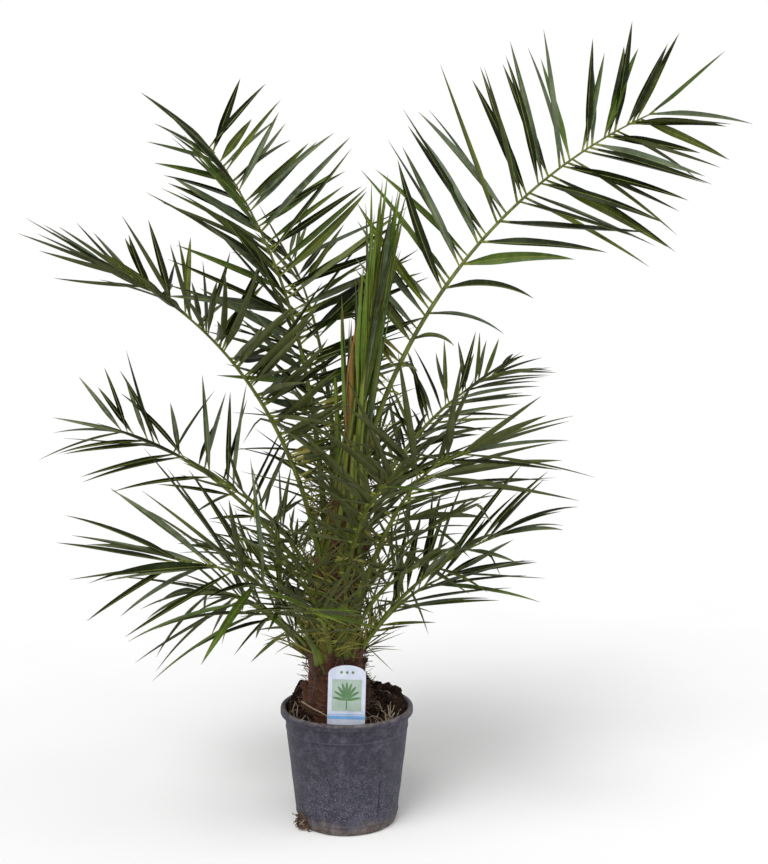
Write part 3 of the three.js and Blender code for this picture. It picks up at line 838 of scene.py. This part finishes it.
def add_young_petiole(shape, number, rng):
    azimuth = math.radians(number * GOLDEN_TURN + rng.uniform(-8, 8))
    way, side = outward(azimuth), outward(azimuth + math.pi / 2)
    low, high = rng.uniform(0.38, 0.50), rng.uniform(0.62, 0.78)
    wide, thick = rng.uniform(0.007, 0.011), rng.uniform(0.005, 0.008)
    rings = []
    for share in shares_of(14):
        height = mix(low, high, share)
        centre, radius = trunk_at(min(height, TRUNK_TOP[2]))
        reach = mix(radius + 0.001, 0.012, smooth((height - 0.5) / 0.24)) + 0.003 * (number % 3)
        middle = np.array([centre[0] + 0.02 * smooth((height - 0.62) / 0.2), centre[1], height])
        narrow = 1.0 - 0.7 * share
        rings.append([middle + way * (reach + thick * narrow * math.cos(turn))
                      + side * wide * narrow * math.sin(turn) for turn in around(10)])
    shape.loft(rings, lambda row, column: OLD_BASE if row < 2 or column in (2, 7) else GREEN_BASE)


def make_heart():
    """The young petioles that stand close round the top of the trunk and the foot of the spear."""
    rng = random.Random(17)
    shape = Shape()
    for number in range(YOUNG_PETIOLES):
        add_young_petiole(shape, number, rng)
    shape.make("young_petioles", TRUNK_PAINTS, (), 50.0)


def fibre_path(number, loose, rng, height, azimuth, slant, length):
    """A fibre's slanting line on the trunk, which leaves it towards its end where it is loose."""
    path = []
    for share in shares_of(7):
        level = height + length * share * math.cos(slant)
        centre, radius = trunk_at(level)
        turn = azimuth + length * share * math.sin(slant) / radius
        stand = 0.0035 + 0.004 * rough((azimuth, height, share), 0.4, number)
        if loose:
            stand += rng.uniform(0.012, 0.026) * share ** 2
        path.append(spot(radius + stand, turn, level - 0.015 * loose * share ** 2, centre))
    return path


def make_fibres():
    """Brown fibres that cross on the trunk, and a few that stand off it."""
    rng = random.Random(5)
    shape = Shape()
    for number in range(FIBRES):
        height = TRUNK_LOW[2] + 0.01 + (TRUNK_HIGH[2] - TRUNK_LOW[2] - 0.05) * rng.random() ** 2.2
        azimuth = rng.uniform(0, math.tau)
        slant = rng.choice((-1, 1)) * rng.uniform(0.25, 1.1)
        length = rng.uniform(0.03, 0.09)
        loose = rng.random() < 0.36
        path = fibre_path(number, loose, rng, height, azimuth, slant, length)
        shape.tube(path, mix(0.0009, 0.0003, rng.random()), 3, LOOSE_FIBRE)
    shape.make("trunk_fibres", TRUNK_PAINTS, (), 80.0)


# ---- pot ----

def pot_paint(name, dark, light, dusting=0.8):
    """Black-grey moulded plastic: chalky haze, scuffs and specks, mud at the foot, a worn rim."""
    paint = Paint(name, 0.5, 0.3)
    haze = paint.ramp(paint.noise(6.0, 6.0), (0.3, dark), (0.75, light))
    height = paint.node("ShaderNodeSeparateXYZ", {"Vector": paint.place}).outputs["Z"]
    scuffs = paint.noise(60.0, 10.0, 0.8)
    dust = paint.ramp(scuffs, (0.46, 0.0), (0.70, dusting))
    dusty = paint.blend(dust, haze, (0.105, 0.102, 0.140))
    grit = paint.noise(420.0, 3.0, 0.6)
    low = paint.ramp(paint.sums("MULTIPLY_ADD", scuffs, 0.05, height), (0.07, 1.0), (0.18, 0.25))
    chalk = paint.sums("MULTIPLY", paint.ramp(grit, (0.55, 0.0), (0.68, 0.9)), low)
    speckled = paint.blend(chalk, dusty, (0.185, 0.180, 0.215))
    specks = paint.sums("MULTIPLY", paint.ramp(paint.cells(260.0), (0.05, 0.7), (0.16, 0.0)), low)
    spotted = paint.blend(specks, speckled, (0.25, 0.24, 0.27))
    blotches = paint.noise(38.0, 7.0, 0.7)
    mud = paint.ramp(paint.sums("MULTIPLY_ADD", blotches, 0.045, height), (0.034, 0.9), (0.050, 0.0))
    mud_colour = paint.ramp(scuffs, (0.40, (0.050, 0.034, 0.028)), (0.62, (0.17, 0.145, 0.135)))
    muddy = paint.blend(mud, spotted, mud_colour)
    worn = paint.ramp(paint.sums("MULTIPLY_ADD", blotches, 0.020, height), (0.2165, 0.0), (0.2215, 0.85))
    edge = paint.ramp(scuffs, (0.40, (0.080, 0.062, 0.055)), (0.60, (0.30, 0.26, 0.24)))
    paint.colour(paint.blend(worn, muddy, edge))
    paint.roughness(scuffs, 0.4, 0.75)
    fine = paint.bump(grit, 0.0006, 0.35)
    paint.bump(scuffs, 0.0008, 0.35, Normal=fine)
    return paint.material


PLASTIC, RIDGE_HIGHLIGHT, CREASE_SHADE = range(3)
POT_PAINTS = [
    pot_paint("pot_plastic_worn", (0.016, 0.015, 0.026), (0.034, 0.033, 0.055)),
    # A lighter copy of the plastic, with its own chalk and mud: a painted highlight along the collar ridge
    # and the foot step.
    pot_paint("pot_plastic_dust_and_ridge_highlight", (0.030, 0.029, 0.042), (0.075, 0.072, 0.098)),
    # A near-black copy of the plastic: painted shade in the deepest part of the crease.
    pot_paint("pot_plastic_crease_shade", (0.003, 0.003, 0.005), (0.006, 0.006, 0.009), 0.1),
]
POT_COLUMNS = 360
CREASE_AT = math.radians(360 - 53)
UNDER_RIM, COLLAR = POT_HEIGHT - RIM_HEIGHT, POT_HEIGHT - COLLAR_HEIGHT


def pot_radius(height):
    return mix(BASE_RADIUS, UNDER_RIM_RADIUS, height / UNDER_RIM)


def wall(proud, *levels):
    """Points of the pot's section at some levels, standing proud of its plain taper."""
    return [(pot_radius(level) + proud, level) for level in levels]


def arc(radius, height, size, first, last, steps):
    """Points of the pot's section along an arc, from one angle to another in degrees."""
    turns = np.radians(np.linspace(first, last, steps + 1))
    return [(radius + size * math.cos(turn), height + size * math.sin(turn)) for turn in turns]


def pot_profile():
    """The pot's section, outside up and inside down: radius, height."""
    points = [(0.001, 0.0), (0.04, 0.0), (0.07, 0.0)]
    points += arc(BASE_RADIUS - 0.006, 0.006, 0.006, -90, 0, 5)
    points += wall(0.0, 0.009, 0.012, 0.015, FOOT_STEP - 0.001)
    points += wall(0.0016, FOOT_STEP, FOOT_STEP + 0.0012)
    points += wall(0.0008, *np.linspace(FOOT_STEP + 0.004, COLLAR - 0.006, 40))
    points += wall(0.0003, COLLAR - 0.003) + wall(0.0013, COLLAR - 0.0015)
    points += wall(0.0016, COLLAR) + wall(0.0014, COLLAR + 0.002)
    points += wall(0.0007, *np.linspace(COLLAR + 0.006, UNDER_RIM - 0.002, 6))
    points += [(UNDER_RIM_RADIUS + 0.001, UNDER_RIM), (RIM_RADIUS - 0.003, UNDER_RIM + 0.0003)]
    points += arc(RIM_RADIUS - 0.0022, UNDER_RIM + 0.0026, 0.0022, -80, 0, 6)
    points += arc(RIM_RADIUS - 0.005, POT_HEIGHT - 0.005, 0.005, 0, 90, 8)
    points += [(UNDER_RIM_RADIUS + 0.002, POT_HEIGHT - 0.0002)]
    points += [(UNDER_RIM_RADIUS - 0.0005, POT_HEIGHT - 0.0015)]
    points += [(UNDER_RIM_RADIUS - 0.0022, POT_HEIGHT - 0.005)]
    points += wall(-WALL, *np.linspace(UNDER_RIM, 0.004, 12))
    return points + [(0.05, 0.003), (0.001, 0.003)]


def crease_depth(turn, height):
    """How far the pot's wall is pushed in at a place, along the old fold in its front."""
    from_crease = turn - CREASE_AT + 0.25 * (0.06 - height) * smooth((0.06 - height) / 0.05)
    band = smooth((height - 0.020) / 0.012) * smooth((0.112 - height) / 0.02)
    return band * (0.0030 * math.exp(-(from_crease / 0.014) ** 2)
                   - 0.0010 * math.exp(-((from_crease - 0.05) / 0.03) ** 2))


def pot_reach(radius, turn, height):
    """The pot's radius at a place: a little out of round, dented and creased."""
    place = spot(1.0, turn, 8.0 * height)
    reach = radius + 0.0006 * rough(place, 0.8, 4.0) * min(1.0, radius / 0.08)
    reach += 0.0010 * rough(place, 0.35, 8.0) * smooth((radius - 0.08) / 0.01)
    if radius > 0.08:
        reach -= crease_depth(turn, height)
    return min(reach, RIM_RADIUS)


def make_pot():
    shape = Shape()
    profile = pot_profile()
    rings = [[spot(pot_reach(radius, turn, height), turn, height) for turn in around(POT_COLUMNS)]
             for radius, height in profile]
    outside = next(row for row, (radius, _) in enumerate(profile) if radius > RIM_RADIUS - 0.001)

    def paint(row, column):
        height = profile[row][1]
        turn = math.tau * (column + 0.5) / POT_COLUMNS
        # Painted shade: the deepest part of the crease gets the near-black copy of the plastic.
        if row < outside and crease_depth(turn, height) > 0.0020:
            return CREASE_SHADE
        # Painted highlight: the rows on the collar ridge and the foot step get the lighter copy of the
        # plastic.
        on_ridge = abs(height - COLLAR) < 0.0008 or abs(height - FOOT_STEP) < 0.0004
        return RIDGE_HIGHLIGHT if row < outside and on_ridge else PLASTIC

    shape.loft(rings, paint)
    shape.make("nursery_pot", POT_PAINTS, ["pot"], 35.0)


# ---- soil ----

def soil_paint(name, dark, light):
    paint = Paint(name, 0.95, 0.15)
    grains = paint.noise(230.0, 8.0, 0.7)
    clumps = paint.ramp(paint.noise(45.0, 5.0), (0.35, dark), (0.7, light))
    # Painted shade: the colour darkens where the grain pattern, which also gives the bump, is low, in the
    # gaps between grains.
    shaded_gaps = paint.ramp(grains, (0.35, 0.75), (0.6, 0.0))
    paint.colour(paint.blend(shaded_gaps, clumps, tuple(0.35 * part for part in dark)))
    paint.bump(grains, 0.004, 0.9)
    return paint.material


SOIL, CRUMB, PALE_ROOT, BROWN_ROOT = range(4)
SOIL_PAINTS = [
    soil_paint("soil_dark", (0.012, 0.006, 0.004), (0.046, 0.024, 0.017)),
    soil_paint("soil_crumb", (0.020, 0.010, 0.007), (0.085, 0.048, 0.034)),
    fibre_paint("root_pale", (0.26, 0.19, 0.12), (0.52, 0.44, 0.33)),
    fibre_paint("root_brown", (0.045, 0.022, 0.012), (0.150, 0.078, 0.042)),
]
SOIL_COLUMNS, SOIL_CIRCLES, CRUMBS = 150, 46, 430


def soil_height(x, y):
    heap = 0.037 * smooth(0.46 + (0.9 * y - 0.02 * x) / UNDER_RIM_RADIUS)
    heap *= 1.0 + 0.35 * rough((x, y, 0.0), 0.05, 3.0)
    dip = 0.007 * smooth(-y / UNDER_RIM_RADIUS)
    lumps = 0.0075 * rough((x, y, 0.0), 0.022, 9.0) + 0.0035 * rough((x, y, 0.0), 0.008, 5.0)
    return SOIL_LEVEL + heap - dip + lumps


def on_soil(radius, turn, above=0.0):
    """The point on the soil's surface, or above it, at a radius and turn from the pot's middle."""
    x, y, _ = spot(radius, turn, 0.0)
    return np.array([x, y, soil_height(x, y) + above])


def make_soil():
    shape = Shape()
    inner = UNDER_RIM_RADIUS - WALL - 0.0028
    turns = around(SOIL_COLUMNS)
    rings = [[spot(0.082, turn, 0.0036) for turn in turns]]
    for circle in range(SOIL_CIRCLES):
        radius = inner * (1.0 - circle / SOIL_CIRCLES)
        rings.append([on_soil(radius, turn, -0.004 * (circle == 0)) for turn in turns])
    shape.loft(rings, SOIL)
    shape.make("potting_soil", SOIL_PAINTS, ["soil"], 70.0)


def ball():
    """Corners and faces of a small round lump."""
    mesh = bpy.data.meshes.new("lump")
    build = bmesh.new()
    bmesh.ops.create_icosphere(build, subdivisions=2, radius=1.0)
    build.to_mesh(mesh)
    build.free()
    points = np.array([tuple(vertex.co) for vertex in mesh.vertices])
    faces = [tuple(face.vertices) for face in mesh.polygons]
    bpy.data.meshes.remove(mesh)
    return points, faces


def make_crumbs():
    """Loose crumbs of soil, mostly along the pot's wall and round the trunk."""
    rng = random.Random(11)
    points, faces = ball()
    shape = Shape()
    for number in range(CRUMBS):
        radius = 0.103 * math.sqrt(rng.uniform(0.12, 1.0))
        turn = rng.uniform(0, math.tau)
        size = rng.choice((0.0016, 0.0022, 0.003, 0.0045, 0.006))
        lump = np.array([point * (1.0 + 0.45 * rough(point, 0.9, number)) for point in points])
        lump *= size * np.array([rng.uniform(0.8, 1.3), rng.uniform(0.8, 1.3), rng.uniform(0.6, 1.0)])
        shape.add(lump + on_soil(radius, turn, 0.3 * size), faces, rng.choice((SOIL, CRUMB, CRUMB)))
    shape.make("soil_crumbs", SOIL_PAINTS, (), 70.0)


# ---- roots ----

LYING_ROOTS, STANDING_ROOTS, EDGE_ROOTS, FOOT_ROOTS = 95, 26, 46, 190
ROOT_REACH = 0.104
TAG_WIDTH, TAG_LENGTH, TAG_CORNER = 0.066, 0.160, 0.016
TAG_FOOT = np.array([-0.001, -0.084, TAG_LOW[2] + 0.001])
TAG_LEAN_BACK, TAG_LEAN_SIDE = math.radians(6), math.radians(1.5)


def wandering(start, way, length, steps, wobble, rng):
    """A thin root's path: it wanders about its first direction."""
    path = [np.array(start, dtype=float)]
    way = unit(np.array(way, dtype=float))
    for _ in range(steps):
        way = unit(way + wobble * np.array([rng.gauss(0, 1), rng.gauss(0, 1), rng.gauss(0, 1)]))
        path.append(path[-1] + way * length / steps)
    return path


def add_root(shape, path, thick, thin, sides, paint):
    shape.tube(path, np.linspace(thick, thin, len(path)), sides, paint)


def before_tag(path):
    """True where a root would lie across the tag's face."""
    return any(abs(point[0] - TAG_FOOT[0]) < 0.04 and point[1] < TAG_FOOT[1] + 0.006 for point in path)


def add_lying_root(shape, number, rng):
    """A curved root that lies on the soil, most often at the front."""
    turn = math.radians(rng.gauss(-62, 26) if number % 3 else rng.uniform(0, 360))
    x, y, _ = spot(rng.uniform(0.055, 0.098), turn, 0.0)
    heading = rng.uniform(0, math.tau)
    length = rng.uniform(0.018, 0.05)
    path = []
    for share in shares_of(8):
        place = spot(length * share, heading + 1.2 * share, 0.0, (x, y))
        place *= min(1.0, ROOT_REACH / math.hypot(place[0], place[1]))
        arch = 0.006 * math.sin(math.pi * share) * (number % 4 == 0)
        place[2] = soil_height(place[0], place[1]) + 0.0015 + arch
        path.append(place)
    if not before_tag(path):
        add_root(shape, path, 0.0009, 0.0003, 4, PALE_ROOT if number % 5 else BROWN_ROOT)


def add_standing_root(shape, number, rng):
    """A short stiff root that sticks up out of the soil, most often at the front right."""
    turn = math.radians(rng.gauss(-28, 12) if number % 4 else rng.gauss(-150, 14))
    start = on_soil(rng.uniform(0.074, 0.100), turn)
    way = (rng.uniform(-0.2, 0.5), rng.uniform(-0.4, 0.2), rng.uniform(0.15, 0.9))
    path = wandering(start, way, rng.uniform(0.014, 0.030), 6, 0.12, rng)
    add_root(shape, path, 0.0012, 0.0006, 5, PALE_ROOT)


def add_edge_root(shape, rng):
    """A hair-thin brown root that curls up at the pot's wall."""
    start = spot(0.1, rng.uniform(0, math.tau), SOIL_LEVEL + 0.006)
    way = (0.5 * rng.gauss(0, 1), 0.5 * rng.gauss(0, 1), rng.uniform(0.5, 1.3))
    path = wandering(start, way, rng.uniform(0.015, 0.035), 7, 0.35, rng)
    if not before_tag(path):
        add_root(shape, path, 0.0006, 0.0002, 4, BROWN_ROOT)


def add_foot_root(shape, number, rng):
    """A root of the tuft that has come out at the pot's foot."""
    turn = math.radians(-146) + rng.gauss(0, 0.085)
    start = spot(BASE_RADIUS + rng.uniform(-0.003, 0.007), turn, rng.uniform(0.002, 0.026))
    way = (math.cos(turn) * 0.35, math.sin(turn) * 0.35, rng.uniform(-0.9, 0.4))
    path = wandering(start, way, rng.uniform(0.008, 0.020), 8, 0.6, rng)
    path = [(x, y, max(z, 0.0014)) for x, y, z in path]
    add_root(shape, path, 0.0013, 0.0005, 4, BROWN_ROOT if number % 6 else PALE_ROOT)


def make_roots():
    rng = random.Random(31)
    shape = Shape()
    for number in range(LYING_ROOTS):
        add_lying_root(shape, number, rng)
    for number in range(STANDING_ROOTS):
        add_standing_root(shape, number, rng)
    for _ in range(EDGE_ROOTS):
        add_edge_root(shape, rng)
    long_root = wandering((-0.080, -0.036, 0.228), (0.66, -0.36, -0.42), 0.068, 9, 0.05, rng)
    long_root = [(x, y, max(z, soil_height(x, y) + 0.001)) for x, y, z in long_root]
    add_root(shape, long_root, 0.0015, 0.0008, 6, PALE_ROOT)
    for number in range(FOOT_ROOTS):
        add_foot_root(shape, number, rng)
    shape.make("roots", SOIL_PAINTS, (), 80.0)


# ---- tag ----

def tag_paint(name, colour, darker):
    paint = Paint(name, 0.32, 0.5)
    slow = paint.ramp(paint.noise(55.0), (0.3, darker), (0.7, colour))
    dirt = paint.ramp(paint.noise(130.0, 6.0), (0.6, 0.0), (0.8, 0.35))
    paint.colour(paint.blend(dirt, slow, (0.42, 0.38, 0.32)))
    paint.roughness(paint.noise(90.0), 0.24, 0.45)
    paint.bump(paint.noise(70.0, 2.0), 0.0008, 0.25)
    return paint.material


WHITE, BLUE, GREEN, PALE_GREEN = range(4)
TAG_PAINTS = [
    tag_paint("tag_white", (0.66, 0.70, 0.80), (0.50, 0.54, 0.68)),
    tag_paint("tag_blue", (0.20, 0.45, 0.80), (0.15, 0.36, 0.70)),
    tag_paint("tag_green", (0.10, 0.22, 0.09), (0.06, 0.15, 0.05)),
    tag_paint("tag_pale_green", (0.40, 0.50, 0.42), (0.30, 0.40, 0.34)),
]
# How far the prints stand out: the panels, and the leaf fan on them.
PRINT_OUT, FAN_OUT = 0.0004, 0.0006


def on_tag(across, up, out):
    """A point on the tag: across and up its face, and out towards the front."""
    bow = 0.0012 * (1.0 - (2.0 * across / TAG_WIDTH) ** 2)
    point = turned(np.array([across, -out - bow, up]), X_AXIS, -TAG_LEAN_BACK)
    return turned(point, Y_AXIS, TAG_LEAN_SIDE) + TAG_FOOT


def tag_half_width(up):
    shoulder = TAG_LENGTH - TAG_CORNER
    if up <= shoulder:
        return TAG_WIDTH / 2
    return TAG_WIDTH / 2 * math.sqrt(max(0.0, 1.0 - ((up - shoulder) / TAG_CORNER) ** 2))


def add_patch(shape, outline, out, paint):
    """A thin printed patch on the tag's face, from a convex outline of (across, up)."""
    middle = np.mean(outline, axis=0)
    count = len(outline)
    loops = [[on_tag(across, up, 0.0) for across, up in outline]]
    for share in (1.0, 0.75, 0.5, 0.25):
        loops.append([on_tag(*mix(middle, np.array(point), share), out) for point in outline])
    points = [point for loop in loops for point in loop] + [on_tag(*middle, out)]
    faces = [tuple(range(count - 1, -1, -1))]
    for index in range(count):
        following = (index + 1) % count
        for loop in range(4):
            low, high = loop * count, (loop + 1) * count
            faces.append((low + index, low + following, high + following, high + index))
        faces.append((4 * count + index, 4 * count + following, 5 * count))
    shape.add(points, faces, paint)


def panel(left, low, right, high, per_side=10):
    """A rectangle's outline, with points along its sides so that it follows the tag's bow."""
    corners = np.array([(left, low), (right, low), (right, high), (left, high), (left, low)])
    return [mix(first, last, step / per_side)
            for first, last in zip(corners, corners[1:]) for step in range(per_side)]


def ellipse(across, up, wide, tall, lean=0.0):
    turns = around(24)
    x, y = wide * np.cos(turns), tall * np.sin(turns)
    return np.stack([across + x * math.cos(lean) - y * math.sin(lean),
                     up + x * math.sin(lean) + y * math.cos(lean)], axis=1)


def make_tag_plate():
    shape = Shape()
    rings = []
    ups = list(np.linspace(0.0, TAG_LENGTH - TAG_CORNER, 16))
    ups += [TAG_LENGTH - TAG_CORNER * (1 - math.sin(math.radians(turn))) for turn in range(8, 89, 8)]
    ups += [TAG_LENGTH - 0.00005]
    for up in ups:
        half = tag_half_width(up)
        acrosses = np.linspace(-half, half, 11)
        front = [on_tag(across, up, 0.0) for across in acrosses]
        back = [on_tag(across, up, -0.0011) for across in acrosses[::-1]]
        rings.append(front + back)
    shape.loft(rings, WHITE)
    shape.make("tag_plate", TAG_PAINTS, ["plant_tag"], 40.0)


def make_tag_print():
    """The tag's plain design: two stripes, a leaf fan on a panel, and three dots."""
    shape = Shape()
    half = TAG_WIDTH / 2 - 0.0006
    for low, high in ((0.066, 0.0715), (0.0735, 0.0745)):
        add_patch(shape, panel(-half, low, half, high), PRINT_OUT, BLUE)
    add_patch(shape, panel(-0.026, 0.080, 0.026, 0.135), PRINT_OUT, PALE_GREEN)
    for number in range(9):
        lean = math.radians(-80 + 20 * number)
        leaf = ellipse(0.0125 * math.sin(lean), 0.098 + 0.02 * math.cos(lean), 0.0024, 0.0125, -lean)
        add_patch(shape, leaf, FAN_OUT + 0.00004 * number, GREEN)
    add_patch(shape, panel(-0.0010, 0.083, 0.0010, 0.102, 3), FAN_OUT, GREEN)
    for across in (-0.010, 0.0, 0.010):
        add_patch(shape, ellipse(across, 0.1475, 0.0024, 0.0024), PRINT_OUT, GREEN)
    shape.make("tag_print", TAG_PAINTS, (), 40.0)


# ---- the object ----

make_pot()
make_soil()
make_crumbs()
make_roots()
make_tag_plate()
make_tag_print()
make_trunk_core()
make_old_bases()
make_heart()
make_fibres()
make_spear()
for frond_number, (frond_name, frond_sizes) in enumerate({**FRONDS, **INNER_FRONDS}.items()):
    make_frond(frond_name, frond_sizes, frond_number)


# ---- stage, light and camera ----

def make_stage():
    paint = Paint("studio_white", 0.9, 0.1)
    paint.colour(paint.ramp(paint.noise(2.0, 2.0), (0.3, 0.90), (0.7, 0.92)))
    bpy.ops.mesh.primitive_plane_add(size=60.0)
    floor = bpy.context.object
    floor.name = "floor"
    floor.data.materials.append(paint.material)


def add_sun(name, way, strength, spread):
    """A broad soft light from far away, so that the floor is as bright far off as near."""
    light = bpy.data.lights.new(name, "SUN")
    light.energy = strength
    light.angle = math.radians(spread)
    lamp = bpy.data.objects.new(name, light)
    lamp.rotation_euler = Vector(way).to_track_quat("-Z", "Y").to_euler()
    bpy.context.collection.objects.link(lamp)


def make_world():
    """A white backdrop all round, and a weaker fill from it on the object and the floor."""
    world = bpy.data.worlds.new("studio")
    bpy.context.scene.world = world
    world.use_nodes = True
    nodes, link = world.node_tree.nodes, world.node_tree.links.new
    fill, backdrop = nodes["Background"], nodes.new("ShaderNodeBackground")
    for background, strength in ((fill, 0.34), (backdrop, 1.0)):
        background.inputs["Strength"].default_value = strength
        background.inputs["Color"].default_value = (1.0, 1.0, 1.0, 1.0)
    either = nodes.new("ShaderNodeMixShader")
    link(nodes.new("ShaderNodeLightPath").outputs["Is Camera Ray"], either.inputs["Fac"])
    link(fill.outputs["Background"], either.inputs[1])
    link(backdrop.outputs["Background"], either.inputs[2])
    link(either.outputs["Shader"], nodes["World Output"].inputs["Surface"])


def make_camera():
    lens = bpy.data.cameras.new("camera")
    lens.sensor_fit = "VERTICAL"
    lens.sensor_height = 36.0
    lens.lens = 51.3
    camera = bpy.data.objects.new("camera", lens)
    camera.location = (0.067, -2.17, 0.914)
    camera.rotation_euler = (math.radians(84.5), 0.0, 0.0)
    bpy.context.collection.objects.link(camera)
    bpy.context.scene.camera = camera


make_stage()
make_world()
add_sun("key", (0.45, 0.75, -1.25), 2.05, 35)
add_sun("fill", (-0.9, 0.5, -0.9), 0.8, 70)
add_sun("front", (0.10, 1.0, -0.30), 0.95, 60)
make_camera()
bpy.context.scene.view_settings.view_transform = "Standard"
